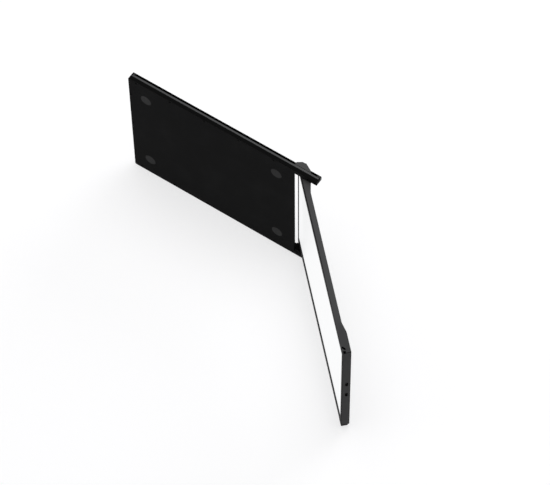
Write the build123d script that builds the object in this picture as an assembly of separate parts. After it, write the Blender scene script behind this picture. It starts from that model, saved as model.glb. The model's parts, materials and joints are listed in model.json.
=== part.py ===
from build123d import *
import math
import os

# Laptop screen extender: a flat back frame that clings to a laptop's lid, and one display panel
# that swings on an upright hinge at the frame's right-hand end.
# Millimetres. X runs along the frame, +Y points away from the lid, +Z is up.
# The origin is the middle of the face that lies against the lid.

# ---------------------------------------------------------------- driving sizes: frame
frame_length = 326.0
plate_thickness = 3.0
plate_edge_radius = 0.6
left_corner_radius = 3.0
right_corner_radius = 1.5
bay_corner_radius = 1.5

rail_depth = 10.0           # front to back, behind the plate
rail_height = 8.25
ridge_depth = 6.3           # full-height front part of a rail
step_drop = 1.0             # the back part of a rail is this much lower
slot_wide = 3.4             # T-slot in the back part of a rail
slot_wide_height = 2.8
slot_neck = 1.8
slot_back_wall = 0.7
slot_floor_wall = 0.85
end_bar_width = 6.0
end_bar_clearance = 0.6     # to the panel when it is folded back over the bar
plug_length = 6.0

magnet_radius = 9.0
magnet_thickness = 3.0
magnet_inset_x = 30.0       # from the plate's ends to a magnet's centre
magnet_inset_z = 34.0       # from the plate's top and bottom to a magnet's centre
magnet_clearance = 0.1
magnet_boss_wall = 1.8
magnet_boss_floor = 1.2

rail_screw_count = 6
rail_screw_inset = 14.0
bar_screw_count = 3
bar_screw_inset = 30.0
frame_screw_shank = 1.0
frame_screw_head = 2.0
frame_screw_grip = 4.0      # thread length in the rail or bar
screw_clearance = 0.1

# ---------------------------------------------------------------- driving sizes: hinge
axis_from_end = 28.5        # hinge axis to the frame's right-hand end
axis_behind_rail = 2.3
axis_to_plate = 10.0        # sideways, from the hinge axis to the plate's cut-away edge
panel_gap = 1.5             # between a rail and the panel's edge
rest_turn = -45.0           # panel's direction at rest, counted from straight out
pin_radius = 1.5
pin_end = 0.6               # of the pin, past its nut
running_clearance = 0.05
carriage_left = 14.3
carriage_right = 12.6
carriage_back_left = 7.2
carriage_back_width = 6.8
carriage_back = 3.4         # behind the hinge axis
carriage_left_side = 4.3    # length of the carriage's sides, from its front face
carriage_right_side = 2.0
carriage_cap = 1.5          # solid metal over the end of the pin
carriage_clearance = 0.15
tongue_half_length = 10.0
tongue_depth = 1.6          # how far the tongue reaches into the shoe
shoe_end = 2.0              # of the shoe, past the tongue
washer_wall = 1.7           # of the thrust washers, round the pin
friction_washer_thickness = 0.5
friction_washer_count = 3
nut_wall = 0.7
nut_height = 2.5
nut_clearance = 0.3
leaf_thickness = 1.2
lug_front = 3.8             # of a hinge leaf's lug, in front of the hinge axis
lug_left = 7.0
lug_clearance = 0.1
leaf_start = 4.0
leaf_neck = 9.0
leaf_edge_gap = 2.5         # from the leaf's end to the slope of the cover
leaf_drop = 28.0            # how far a leaf reaches in from the panel's edge
leaf_shoulder = 8.2
leaf_screw_inset = 4.0

# ---------------------------------------------------------------- driving sizes: panel shell
panel_height = 200.5
panel_reach = 304.6         # hinge axis to the outer end
panel_overhang = 11.0       # hinge axis to the inner end
axis_to_front = 9.1         # hinge axis to the screen side
inner_block_end = 22.0
inner_slope_end = 33.0
outer_block_length = 32.6
outer_slope_length = 16.0
crest_radius = 5.0
cover_wall = 1.2
side_wall = 1.4
panel_corner_radius = 1.0
back_edge_radius = 0.7
front_edge_radius = 0.5
bezel_depth = 1.2           # height of the bezel's side wall
bezel_front = 0.8
bezel_outer = 5.0
bezel_inner = 3.5
bezel_top = 9.9
bezel_bottom = 14.5

cover_screw_shank = 0.8
cover_screw_head = 1.6
cover_screw_length = 8.0
inner_screw_inset = 27.5    # from the panel's inner end
outer_screw_inset = 18.8    # and from its outer end
post_radius = 2.2
post_rise = 5.7             # the bezel's posts, above the bezel's side wall
post_clearance = 0.05
post_floor = 1.0

vent_margin = 7.5           # from the panel's edges
vent_rib = 3.5              # between two vents
vent_width = 11.0
vent_recess = 0.25
vent_plate = 0.9
vent_rim = 1.2
louvre_pitch = 2.6
louvre_open = 1.3

eye_from_end = 8.0          # strap eye: middle of the slot in the top edge, from the outer end
eye_from_front = 3.1        # and from the screen side
eye_turn = 40.0             # of the slot, against the panel's length
eye_slot_length = 6.8
eye_slot_width = 2.7
eye_notch_length = 3.5      # notch in the corner of the outer end
eye_notch_width = 3.6
eye_lip = 1.8               # how far the notch is cut down the outer end
eye_depth = 4.3
eye_bar = 2.25              # between the slot and the notch; the strap goes round it
eye_wall = 1.5

foot_from_end = 0.4
foot_length = 13.0
foot_width = 10.2           # it stops short of the rail when the panel is folded back
foot_height = 3.2
foot_inset = 0.2
foot_corner = 1.0
foot_edge_radius = 0.5      # round the underside

# ---------------------------------------------------------------- driving sizes: panel insides
glass_thickness = 0.6
cell_thickness = 1.0
guide_thickness = 1.9
tray_wall = 0.4
module_lap = 1.8            # display module under the bezel, at the top
module_post_gap = 0.25      # between the module's lower edge and the bezel's posts
glass_lap_bottom = 4.0
module_side_gap = 0.8       # between the module and the side walls
led_bar_height = 2.5
foam_thickness = 2.9
foam_width = 7.0
foam_inset = 8.0
foam_above_board = 8.0
source_board_height = 14.0
source_board_thickness = 0.8
source_board_inset = 2.0
source_board_edge = 6.0     # from its end to the outer slope
ribbon_width = 7.0
ribbon_margin = 1.0         # of the driver board, below the ribbon
ribbon_thickness = 0.3
ribbon_lap = 7.0            # of the ribbon on each board
ribbon_rise = 8.0           # length of its slanted stretch
ribbon_bend = 1.2

board_thickness = 1.0
board_room = 1.7            # behind the board, for its parts
board_lap = 4.0             # how far it reaches under the slope
board_end_gap = 0.8
board_top_gap = 22.25       # from the panel's top edge
board_screw_drop = 8.0      # from the board's top
board_screw_inset = 5.0     # from the board's inner edge
board_screw_pitch = 17.0
board_screw_head = 1.5
board_screw_head_height = 0.7
board_boss_radius = 2.4
bore_extra = 0.2
chip_insets = (15.0, 13.0, 20.0, 12.0)      # from the board's inner edge
chip_drops = (40.0, 130.0, 20.0, 116.0)     # from the board's top
chip_sizes = (12.0, 6.0, 6.0, 5.0)
chip_heights = (1.0, 1.2, 1.2, 0.8)
pad_size = 10.0

port_width = 8.94
port_height = 3.2
port_wall = 0.3
port_depth = 7.3
port_recess = 0.2
port_clearance = 0.15
port_places = (13.9, -14.1)
port_gap = 0.6              # between a port and the display module
tongue_width = 6.6
tongue_height = 0.7
tongue_length = 5.4

button_inset = 7.3          # from the outer end
button_width = 4.0
button_stand = 0.45         # above the cover
button_corner = 1.2
button_clearance = 0.15
button_edge_radius = 0.3
power_z = 7.2
power_length = 13.0
power_travel = 0.4
flange_thickness = 0.6
flange_lip = 0.8
rocker_z = -19.3
rocker_length = 29.0
rocker_cap_depth = 0.65     # how far the rocker reaches inside the cover
rocker_pin_radius = 0.5
rocker_clearance = 0.15     # between its hub and the board
rocker_hub_radius = 0.95
rocker_ear = 1.5
rocker_ear_width = 4.0
switch_gap = 0.05           # left under the power button when it is pressed
switch_length = 4.0
switch_width = 3.0
switch_inset = 4.0          # from the rocker's ends

# ---------------------------------------------------------------- derived places: frame
half_length = frame_length / 2
half_panel = panel_height / 2
rail_inner = half_panel + panel_gap
half_frame = rail_inner + rail_height
rail_middle = half_frame - rail_height / 2
rail_front = plate_thickness
rail_back = rail_front + rail_depth
ridge_back = rail_front + ridge_depth
step_z = half_frame - step_drop
hinge_x = half_length - axis_from_end
hinge_y = rail_back + axis_behind_rail
bay_edge = hinge_x - axis_to_plate
washer_radius = pin_radius + washer_wall
nut_radius = pin_radius + nut_wall
slot_middle = rail_back - slot_back_wall - slot_wide / 2
slot_floor = rail_inner + slot_floor_wall
slot_shoulder = slot_floor + slot_wide_height

# ---------------------------------------------------------------- derived places: panel
# Panel pieces are drawn straight out along +X from the hinge axis: u is X, v is Y.
front_v = -axis_to_front
split_v = front_v + bezel_depth
glass_v = front_v + bezel_front
cell_v = glass_v + glass_thickness
guide_v = cell_v + cell_thickness
tray_v = guide_v + guide_thickness
module_back = tray_v + tray_wall
thin_inside = module_back + foam_thickness
thin_v = thin_inside + cover_wall
port_v = module_back + port_gap + port_height / 2
board_front = port_v + port_height / 2
board_back = board_front + board_thickness
thick_inside = board_back + board_room
thick_v = thick_inside + cover_wall
raised_height = thick_v - thin_v
end_bar_back = hinge_y - thick_v - button_stand - end_bar_clearance

edge_inside = half_panel - side_wall
outer_inside = panel_reach - side_wall
inner_inside = -panel_overhang + side_wall
outer_block_start = panel_reach - outer_block_length
outer_slope_start = outer_block_start - outer_slope_length

leaf_z = edge_inside - leaf_thickness
leaf_end = inner_block_end - leaf_edge_gap
leaf_low = half_panel - leaf_drop
leaf_high = half_panel - leaf_shoulder
nut_top = leaf_z - friction_washer_thickness * friction_washer_count
nut_bottom = nut_top - nut_height
pin_tip = nut_bottom - pin_end
pin_head = half_frame - carriage_cap
post_z = leaf_z - post_clearance - post_radius
post_top = split_v + post_rise

screen_left = -panel_overhang + bezel_inner
screen_right = panel_reach - bezel_outer
screen_top = half_panel - bezel_top
screen_bottom = -half_panel + bezel_bottom
module_left = inner_inside + module_side_gap
module_right = outer_inside - module_side_gap
module_top = screen_top + module_lap
module_bottom = -post_z + post_radius + module_post_gap

board_start = outer_block_start - board_lap
board_end = outer_inside - board_end_gap
board_top = half_panel - board_top_gap
board_screw_z = board_top - board_screw_drop
board_bore = board_room + bore_extra
source_board_bottom = module_bottom + source_board_inset
source_board_top = source_board_bottom + source_board_height
source_board_end = outer_slope_start - source_board_edge
ribbon_z = source_board_bottom + source_board_height / 2
board_bottom = ribbon_z - ribbon_width / 2 - ribbon_margin
button_u = panel_reach - button_inset
switch_top = thick_inside - flange_thickness - power_travel - switch_gap
rocker_axle_v = board_back + rocker_clearance + rocker_hub_radius

eye_place = (panel_reach - eye_from_end, front_v + eye_from_front)
eye_straight = (eye_slot_length - eye_slot_width) / 2
eye_half_u = eye_straight * math.cos(math.radians(eye_turn)) + eye_slot_width / 2
eye_half_v = eye_straight * math.sin(math.radians(eye_turn)) + eye_slot_width / 2
eye_floor = half_panel - eye_depth

vent_height = (panel_height - 2 * vent_margin - 2 * vent_rib) / 3
vent_pitch = vent_height + vent_rib
slope_run = outer_block_start - outer_slope_start
slope_length = math.hypot(slope_run, raised_height)
slope_along = (slope_run / slope_length, raised_height / slope_length, 0)
slope_out = (-raised_height / slope_length, slope_run / slope_length, 0)
slope_middle = ((outer_slope_start + outer_block_start) / 2, (thin_v + thick_v) / 2)


# ---------------------------------------------------------------- helpers
backwards = (0, 1, 0)
forwards = (0, -1, 0)
upwards = (0, 0, 1)
from_base = (Align.CENTER, Align.CENTER, Align.MIN)


def slab(x, y, z):
    """A block between two limits on each axis."""
    size = [high - low for low, high in (x, y, z)]
    middle = [(low + high) / 2 for low, high in (x, y, z)]
    return Pos(*middle) * Box(*size)


def rod(start, direction, radius, length):
    """A cylinder that runs from start along direction."""
    return Plane(origin=start, z_dir=direction) * Cylinder(radius, length, align=from_base)


def ring(start, inner, outer, length):
    """A tube that runs upwards from start."""
    return rod(start, upwards, outer, length) - rod(start, upwards, inner, length)


def corners(a, b):
    """The four corners of a rectangle between two limits on each axis."""
    return [(a[0], b[0]), (a[1], b[0]), (a[1], b[1]), (a[0], b[1])]


def outline(points, radii):
    """A flat face with rounded corners."""
    return make_face(FilletPolyline(*points, radius=radii, close=True))


def prism_x(points, radii, low, high):
    """An outline in Y and Z, carried from low to high along X."""
    plane = Plane(origin=(low, 0, 0), x_dir=(0, 1, 0), z_dir=(1, 0, 0))
    return extrude(plane * outline(points, radii), amount=high - low, dir=(1, 0, 0))


def prism_y(points, radii, low, high):
    """An outline in X and Z, carried from low to high along Y."""
    plane = Plane(origin=(0, low, 0), x_dir=(1, 0, 0), z_dir=forwards)
    return extrude(plane * outline(points, radii), amount=high - low, dir=backwards)


def prism_z(points, radii, low, high):
    """An outline in X and Y, raised from low to high along Z."""
    return extrude(Pos(0, 0, low) * outline(points, radii), amount=high - low, dir=upwards)


def flipped(shape):
    """The same piece upside down, for the other side of the middle height."""
    return mirror(shape, about=Plane.XY)


def rim(shape, axis, end):
    """The outer edges of a shape's last face along an axis (end -1) or its first (end 0)."""
    return shape.faces().sort_by(axis)[end].outer_wire().edges()


def screw_hole(at, direction, shank, head, length, clearance=screw_clearance):
    """The room for a countersunk screw, with clearance round its shank only."""
    hole = Cylinder(shank + clearance, length, align=from_base)
    hole += Cone(head, shank, head - shank, align=from_base)
    return Plane(origin=at, z_dir=direction) * hole


def screw(at, direction, shank, head, length):
    """A countersunk screw with a hexagon socket, its flat head at the given point."""
    socket = extrude(RegularPolygon(shank * 0.75, 6), amount=(head - shank) * 0.7, dir=upwards)
    body = screw_hole(at, direction, shank, head, length, 0.0)
    return body - Plane(origin=at, z_dir=direction) * socket


def spread(low, high, count):
    """Evenly spaced places from low to high."""
    return [low + (high - low) * i / (count - 1) for i in range(count)]


def on_panel(shape):
    """Carries a panel piece from its drawing place to the hinge, turned to rest."""
    return Pos(hinge_x, hinge_y, 0) * Rot(0, 0, rest_turn) * shape


# ---------------------------------------------------------------- frame
frame_corners = corners((-half_length, half_length), (-half_frame, half_frame))
frame_corner_radii = [left_corner_radius, right_corner_radius, right_corner_radius, left_corner_radius]
magnet_places = [
    (x, z)
    for x in (-half_length + magnet_inset_x, bay_edge - magnet_inset_x)
    for z in (-half_frame + magnet_inset_z, half_frame - magnet_inset_z)
]
rail_screw_places = [
    (x, z)
    for x in spread(-half_length + rail_screw_inset, half_length - rail_screw_inset, rail_screw_count)
    for z in (-rail_middle, rail_middle)
]
bar_screw_places = [
    (-half_length + end_bar_width / 2, z)
    for z in spread(-rail_inner + bar_screw_inset, rail_inner - bar_screw_inset, bar_screw_count)
]


def frame_outline(low, high):
    """The frame's rounded outline, as a block that trims what lies inside it."""
    return prism_y(frame_corners, frame_corner_radii, low, high)


def make_lid_plate():
    """The plate that lies against the lid, cut away at the right where the panel swings."""
    points = [
        (-half_length, -half_frame),
        (half_length, -half_frame),
        (half_length, -rail_inner),
        (bay_edge, -rail_inner),
        (bay_edge, rail_inner),
        (half_length, rail_inner),
        (half_length, half_frame),
        (-half_length, half_frame),
    ]
    lower_radii = [left_corner_radius, right_corner_radius, 0, bay_corner_radius]
    plate = prism_y(points, lower_radii + lower_radii[::-1], 0, plate_thickness)
    plate = fillet(rim(plate, Axis.Y, 0), plate_edge_radius)
    for x, z in magnet_places:
        boss = magnet_radius + magnet_boss_wall
        plate += rod((x, plate_thickness / 2, z), backwards, boss, plate_thickness / 2 + magnet_boss_floor)
        plate -= rod((x, 0, z), backwards, magnet_radius + magnet_clearance, magnet_thickness)
    for x, z in rail_screw_places + bar_screw_places:
        plate -= screw_hole((x, 0, z), backwards, frame_screw_shank, frame_screw_head, plate_thickness)
    return plate


def make_magnets():
    """Discs that hold the frame to steel patches on the lid."""
    return [rod((x, 0, z), backwards, magnet_radius, magnet_thickness) for x, z in magnet_places]


def tee_slot(low, high):
    """The T-shaped space along a rail."""
    half_wide, half_neck = slot_wide / 2, slot_neck / 2
    x = (low, high)
    foot = slab(x, (slot_middle - half_wide, slot_middle + half_wide), (slot_floor, slot_shoulder))
    stem = slab(x, (slot_middle - half_neck, slot_middle + half_neck), (slot_floor, step_z))
    return foot + stem


def make_top_rail():
    """A rail with a full-height ridge, and a lower back part with a T-slot for the hinge carriage."""
    points = [
        (rail_front, rail_inner),
        (rail_back, rail_inner),
        (rail_back, step_z),
        (ridge_back, step_z),
        (ridge_back, half_frame),
        (rail_front, half_frame),
    ]
    rail = prism_x(points, [0, 0.4, 0.3, 0, 0.5, 0], -half_length, half_length)
    rail &= frame_outline(rail_front, rail_back)
    rail -= tee_slot(-half_length - 1, half_length + 1)
    for x, z in rail_screw_places:
        rail -= rod((x, rail_front, z), backwards, frame_screw_shank, frame_screw_grip)
    return rail


def make_left_end_bar():
    """The upright bar that joins the two rails at the frame's left-hand end."""
    x = (-half_length, -half_length + end_bar_width)
    bar = slab(x, (rail_front, end_bar_back), (-rail_inner, rail_inner))
    bar = fillet(bar.edges().filter_by(Axis.Z).group_by(Axis.Y)[-1], plate_edge_radius)
    for place, z in bar_screw_places:
        bar -= rod((place, rail_front, z), backwards, frame_screw_shank, frame_screw_grip)
    return bar


def make_rail_plugs():
    """Plugs that close both ends of each T-slot and stop the carriages."""
    left = tee_slot(-half_length, -half_length + plug_length) & frame_outline(rail_front, rail_back)
    right = tee_slot(half_length - plug_length, half_length) & frame_outline(rail_front, rail_back)
    return [left, right, flipped(left), flipped(right)]


def make_frame_screws():
    """Countersunk screws through the plate into the rails and the end bar."""
    length = plate_thickness + frame_screw_grip
    return [
        screw((x, 0, z), backwards, frame_screw_shank, frame_screw_head, length)
        for x, z in rail_screw_places + bar_screw_places
    ]


# ---------------------------------------------------------------- hinge
leaf_screw_places = [
    (u, side * z)
    for u, z in (
        (leaf_start + leaf_screw_inset, leaf_low + leaf_screw_inset),
        (leaf_end - leaf_screw_inset, leaf_high - leaf_screw_inset),
    )
    for side in (-1, 1)
]


def make_top_carriage():
    """The hinge block: it sits on the rail's step, hangs behind the rail and holds the pivot pin."""
    front = ridge_back + carriage_clearance
    back = hinge_y + carriage_back
    points = [
        (hinge_x - carriage_left, front),
        (hinge_x + carriage_right, front),
        (hinge_x + carriage_right, front + carriage_right_side),
        (hinge_x - carriage_back_left + carriage_back_width, back),
        (hinge_x - carriage_back_left, back),
        (hinge_x - carriage_left, front + carriage_left_side),
    ]
    block = prism_z(points, [0.5, 0.5, 1.5, 1.5, 1.5, 1.5], rail_inner, half_frame)
    block = chamfer(rim(block, Axis.Z, -1), 0.35)
    over_rail = (hinge_x - carriage_left - 1, hinge_x + carriage_right + 1)
    block -= slab(over_rail, (front - 1, rail_back + carriage_clearance), (rail_inner - 1, step_z))
    block += carriage_tongue(step_z + step_drop / 2)
    block -= rod((hinge_x, hinge_y, rail_inner), upwards, pin_radius, pin_head - rail_inner)
    return block


def carriage_tongue(top):
    """The tongue that reaches from a carriage through the slot's neck into the shoe."""
    half_neck = slot_neck / 2 - carriage_clearance
    x = (hinge_x - tongue_half_length, hinge_x + tongue_half_length)
    low = slot_shoulder - carriage_clearance - tongue_depth
    return slab(x, (slot_middle - half_neck, slot_middle + half_neck), (low, top))


def make_glide_shoes():
    """Slippery shoes in the T-slots; each takes the tongue of a carriage."""
    half_wide = slot_wide / 2 - carriage_clearance
    reach = tongue_half_length + shoe_end
    top = slot_shoulder - carriage_clearance
    y = (slot_middle - half_wide, slot_middle + half_wide)
    shoe = slab((hinge_x - reach, hinge_x + reach), y, (slot_floor, top))
    shoe -= carriage_tongue(top + 1)
    return [shoe, flipped(shoe)]


def make_pivot_pins():
    """Steel pins pressed into the carriages; the panel turns on them."""
    pin = rod((hinge_x, hinge_y, pin_tip), upwards, pin_radius, pin_head - pin_tip)
    return [pin, flipped(pin)]


def make_pivot_nuts():
    """Round nuts that press the friction washers against the hinge leaves."""
    nut = ring((hinge_x, hinge_y, nut_bottom), pin_radius, nut_radius, nut_height)
    return [nut, flipped(nut)]


def make_thrust_washers():
    """Plastic washers that fill the gap between the carriages and the panel."""
    washer = ring((0, 0, half_panel), pin_radius + running_clearance, washer_radius, panel_gap)
    return [washer, flipped(washer)]


def make_friction_washers():
    """Spring washers under the nuts; they make the hinge stay where it is put."""
    washers = []
    for i in range(friction_washer_count):
        start = (0, 0, nut_top + i * friction_washer_thickness)
        washer = ring(start, pin_radius + running_clearance, nut_radius, friction_washer_thickness)
        washers += [washer, flipped(washer)]
    return washers


def make_top_hinge_leaf():
    """The upper hinge leaf: a lug round the pin, bent down and screwed to the back of the cover."""
    v = (thick_inside - leaf_thickness, thick_inside)
    leaf = slab((-lug_left, leaf_end), (-lug_front, thick_inside - lug_clearance), (leaf_z, edge_inside))
    leaf -= rod((0, 0, leaf_z), upwards, pin_radius + running_clearance, leaf_thickness)
    leaf += slab((leaf_start, leaf_start + leaf_neck), v, (leaf_low, edge_inside))
    leaf += slab((leaf_start, leaf_end), v, (leaf_low, leaf_high))
    for u, z in leaf_screw_places:
        leaf -= rod((u, v[0], z), backwards, cover_screw_shank, leaf_thickness)
    return leaf


def make_leaf_screws():
    """Short screws that hold the hinge leaves to the cover."""
    length = cover_wall + leaf_thickness + bore_extra
    return [
        screw((u, thick_v, z), forwards, cover_screw_shank, cover_screw_head, length)
        for u, z in leaf_screw_places
    ]


# ---------------------------------------------------------------- panel shell
post_places = [
    (u, side * post_z)
    for u in (-panel_overhang + inner_screw_inset, panel_reach - outer_screw_inset)
    for side in (-1, 1)
]
board_screw_places = [
    (board_start + board_screw_inset + shift, side * board_screw_z)
    for shift in (0, board_screw_pitch)
    for side in (-1, 1)
]
vent_places = (-vent_pitch, 0.0, vent_pitch)


def cover_block(wall, ends, half_height):
    """The cover's shape with a raised block at each end, drawn in by a wall's thickness."""
    thin, thick = thin_v - wall, thick_v - wall
    inner_run = inner_slope_end - inner_block_end
    inner_shift = wall * (math.hypot(inner_run, raised_height) - inner_run) / raised_height
    outer_shift = wall * (slope_length - slope_run) / raised_height
    points = [
        (-panel_overhang + ends, split_v),
        (panel_reach - ends, split_v),
        (panel_reach - ends, thick),
        (outer_block_start + outer_shift, thick),
        (outer_slope_start + outer_shift, thin),
        (inner_slope_end - inner_shift, thin),
        (inner_block_end - inner_shift, thick),
        (-panel_overhang + ends, thick),
    ]
    radii = [0, 0, 0] + [crest_radius] * 4 + [0]
    return prism_z(points, radii, -half_height, half_height)


def on_back_outline(edge):
    """True for an edge along the outline of the panel's back."""
    middle = edge.center()
    if middle.Y < split_v + 1 or abs(edge.tangent_at(0).Y) > 0.99:
        return False
    near_side = abs(middle.Z) > half_panel - panel_corner_radius
    near_outer = middle.X > panel_reach - panel_corner_radius
    near_inner = middle.X < -panel_overhang + panel_corner_radius
    return near_side or near_outer or near_inner


def port_block(z, grow, low, high):
    """A block with the rounded outline of a socket, grown all round."""
    half_v, half_z = port_height / 2 + grow, port_width / 2 + grow
    points = corners((port_v - half_v, port_v + half_v), (z - half_z, z + half_z))
    return prism_x(points, [half_v - 0.01] * 4, low, high)


def vent_block(z, width, height, low, high):
    """A block square to the outer slope, from low to high along its outward direction."""
    origin = (slope_middle[0] + slope_out[0] * low, slope_middle[1] + slope_out[1] * low, z)
    plane = Plane(origin=origin, x_dir=slope_along, z_dir=slope_out)
    return plane * Box(width, height, high - low, align=from_base)


def button_block(z, length, grow, low, high):
    """A block with the rounded outline of a button, grown all round."""
    half_u, half_z = button_width / 2 + grow, length / 2 + grow
    points = corners((button_u - half_u, button_u + half_u), (z - half_z, z + half_z))
    return prism_y(points, [button_corner + grow] * 4, low, high)


def rocker_axle(reach, radius):
    """The rocker button's turning axis as a rod, from its middle out to both sides."""
    return rod((button_u - reach, rocker_axle_v, rocker_z), (1, 0, 0), radius, 2 * reach)


def rocker_ear_reach():
    """From the rocker's middle to the outer face of an ear."""
    return button_width / 2 + button_clearance + rocker_ear


def make_strap_passage():
    """The way of a wrist strap: in at the slanted slot, under the bar and out at the corner's notch."""
    outside = half_panel + 1
    slot = Pos(*eye_place, eye_floor) * SlotOverall(eye_slot_length, eye_slot_width, rotation=eye_turn)
    v = (eye_place[1] - eye_notch_width / 2, eye_place[1] + eye_notch_width / 2)
    notch = panel_reach - eye_notch_length
    passage = extrude(slot, amount=outside - eye_floor, dir=upwards)
    passage += slab((eye_place[0], outer_inside), v, (eye_floor, half_panel - eye_bar))
    passage += slab((notch, outer_inside), v, (eye_floor, outside))
    return passage + slab((notch, panel_reach + 1), v, (half_panel - eye_lip, outside))


def eye_corner(low, high):
    """The solid corner round the strap's way, between two places from front to back."""
    u = (eye_place[0] - eye_half_u - eye_wall, outer_inside + bore_extra)
    return slab(u, (low, high), (eye_floor - eye_wall, edge_inside + bore_extra))


def make_rear_cover():
    """The back shell, with a raised block at each end and three vent windows on the outer slope."""
    cover = cover_block(0, 0, half_panel)
    cover = fillet(cover.edges().filter_by(Axis.Y), panel_corner_radius)
    cover = fillet(cover.edges().filter_by(on_back_outline), back_edge_radius)
    cover -= cover_block(cover_wall, side_wall, edge_inside)

    # Room for the hinge's nuts and washers, and holes for its pins.
    half_pocket = nut_radius + nut_clearance
    cover -= slab(
        (-half_pocket, half_pocket),
        (0, half_pocket),
        (nut_bottom - pin_end - nut_clearance, edge_inside),
    )
    cover -= slab(
        (-half_pocket, half_pocket),
        (0, half_pocket),
        (-edge_inside, -nut_bottom + pin_end + nut_clearance),
    )
    cover -= rod((0, 0, -half_panel - 1), upwards, pin_radius + nut_clearance, panel_height + 2)

    # Bosses and holes for screws.
    for u, z in post_places:
        cover += rod((u, post_top, z), backwards, post_radius, thick_inside - post_top + bore_extra)
        depth = thick_v - post_top
        cover -= screw_hole((u, thick_v, z), forwards, cover_screw_shank, cover_screw_head, depth)
    for u, z in leaf_screw_places:
        cover -= screw_hole((u, thick_v, z), forwards, cover_screw_shank, cover_screw_head, cover_wall)
    for u, z in board_screw_places:
        cover += rod((u, board_back, z), backwards, board_boss_radius, board_bore)
        cover -= rod((u, board_back, z), backwards, cover_screw_shank, board_bore)

    # Openings for sockets, vents and buttons.
    for z in port_places:
        cover -= port_block(z, port_clearance, outer_inside - 1, panel_reach + 1)
    for z in vent_places:
        cover -= vent_block(z, vent_width, vent_height, -cover_wall - 1, 2)
    for z, length in ((power_z, power_length), (rocker_z, rocker_length)):
        cover -= button_block(z, length, button_clearance, thick_inside - 0.1, thick_v + 1)

    # Ears that hold the rocker's pin.
    ear_z = (rocker_z - rocker_ear_width / 2, rocker_z + rocker_ear_width / 2)
    ear_v = (rocker_axle_v - rocker_hub_radius, thick_inside + bore_extra)
    for side in (-1, 1):
        near = button_u + side * (button_width / 2 + button_clearance)
        cover += slab(sorted((near, near + side * rocker_ear)), ear_v, ear_z)
    cover -= rocker_axle(rocker_ear_reach(), rocker_pin_radius)
    cover += eye_corner(split_v, eye_place[1] + eye_half_v + eye_wall)
    return cover - make_strap_passage()


def make_front_bezel():
    """The thin black surround of the screen, with a low side wall and four screw posts."""
    outside = corners((-panel_overhang, panel_reach), (-half_panel, half_panel))
    bezel = prism_y(outside, [panel_corner_radius] * 4, front_v, split_v)
    bezel = fillet(rim(bezel, Axis.Y, 0), front_edge_radius)
    bezel -= slab((inner_inside, outer_inside), (glass_v, split_v), (-edge_inside, edge_inside))
    bezel -= slab((screen_left, screen_right), (front_v, glass_v), (screen_bottom, screen_top))
    for u, z in post_places:
        bezel += rod((u, glass_v - bore_extra, z), backwards, post_radius, post_top - glass_v + bore_extra)
        bore_start = glass_v + post_floor
        bezel -= rod((u, bore_start, z), backwards, cover_screw_shank, post_top - bore_start)
    bezel += eye_corner(glass_v - bore_extra, split_v)
    return bezel - make_strap_passage()


def make_cover_screws():
    """Long screws from the back through the cover into the bezel's posts."""
    return [
        screw((u, thick_v, z), forwards, cover_screw_shank, cover_screw_head, cover_screw_length)
        for u, z in post_places
    ]


def make_vent_grilles():
    """Louvred inserts in the three vent windows."""
    louvre_count = int((vent_height - 2 * vent_rim) / louvre_pitch)
    half_spread = (louvre_count - 1) * louvre_pitch / 2
    low, high = -vent_recess - vent_plate, -vent_recess
    grilles = []
    for middle in vent_places:
        grille = vent_block(middle, vent_width, vent_height, low, high)
        for shift in spread(-half_spread, half_spread, louvre_count):
            grille -= vent_block(middle + shift, vent_width - 2 * vent_rim, louvre_open, low, high)
        grilles.append(grille)
    return grilles


def make_panel_foot():
    """A small rubber foot under the outer end."""
    u = (panel_reach - foot_from_end - foot_length, panel_reach - foot_from_end)
    v = (front_v + foot_inset, front_v + foot_inset + foot_width)
    foot = slab(u, v, (-half_panel - foot_height, -half_panel))
    foot = fillet(foot.edges().filter_by(Axis.Z), foot_corner)
    return fillet(rim(foot, Axis.Z, 0), foot_edge_radius)


# ---------------------------------------------------------------- display module
def make_display_glass():
    """The matte front layer of the screen."""
    z = (screen_bottom - glass_lap_bottom, module_top)
    return slab((module_left, module_right), (glass_v, cell_v), z)


def make_lcd_cell():
    """The liquid-crystal cell, longer at the bottom where its drivers sit."""
    return slab((module_left, module_right), (cell_v, guide_v), (module_bottom, module_top))


def make_led_bar():
    """The strip of lamps along the light guide's lower edge."""
    u = (module_left + tray_wall, module_right - tray_wall)
    low = module_bottom + tray_wall
    return slab(u, (guide_v, tray_v), (low, low + led_bar_height))


def make_light_guide():
    """The clear sheet that spreads the lamps' light over the screen."""
    u = (module_left + tray_wall, module_right - tray_wall)
    return slab(u, (guide_v, tray_v), (module_bottom + tray_wall + led_bar_height, module_top - tray_wall))


def make_lcd_tray():
    """A thin sheet-metal tray round the light guide."""
    u, z = (module_left, module_right), (module_bottom, module_top)
    inside_u, inside_z = [(low + tray_wall, high - tray_wall) for low, high in (u, z)]
    return slab(u, (guide_v, module_back), z) - slab(inside_u, (guide_v, tray_v), inside_z)


def make_foam_strips():
    """Strips of foam that press the display module forward against the bezel."""
    v = (module_back, thin_inside)
    left, right = inner_slope_end + foam_inset, outer_slope_start - foam_inset
    low, high = source_board_top + foam_above_board, module_top - foam_inset
    strips = [slab((left, right), v, (z - foam_width, z)) for z in (low, high)]
    strips += [slab((u, u + foam_width), v, (low, high - foam_width)) for u in (left, right - foam_width)]
    return strips


# ---------------------------------------------------------------- electronics
def make_source_board():
    """The narrow board that feeds the screen's rows and columns."""
    u = (inner_slope_end + foam_inset, source_board_end)
    v = (module_back, module_back + source_board_thickness)
    return slab(u, v, (source_board_bottom, source_board_top))


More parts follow.
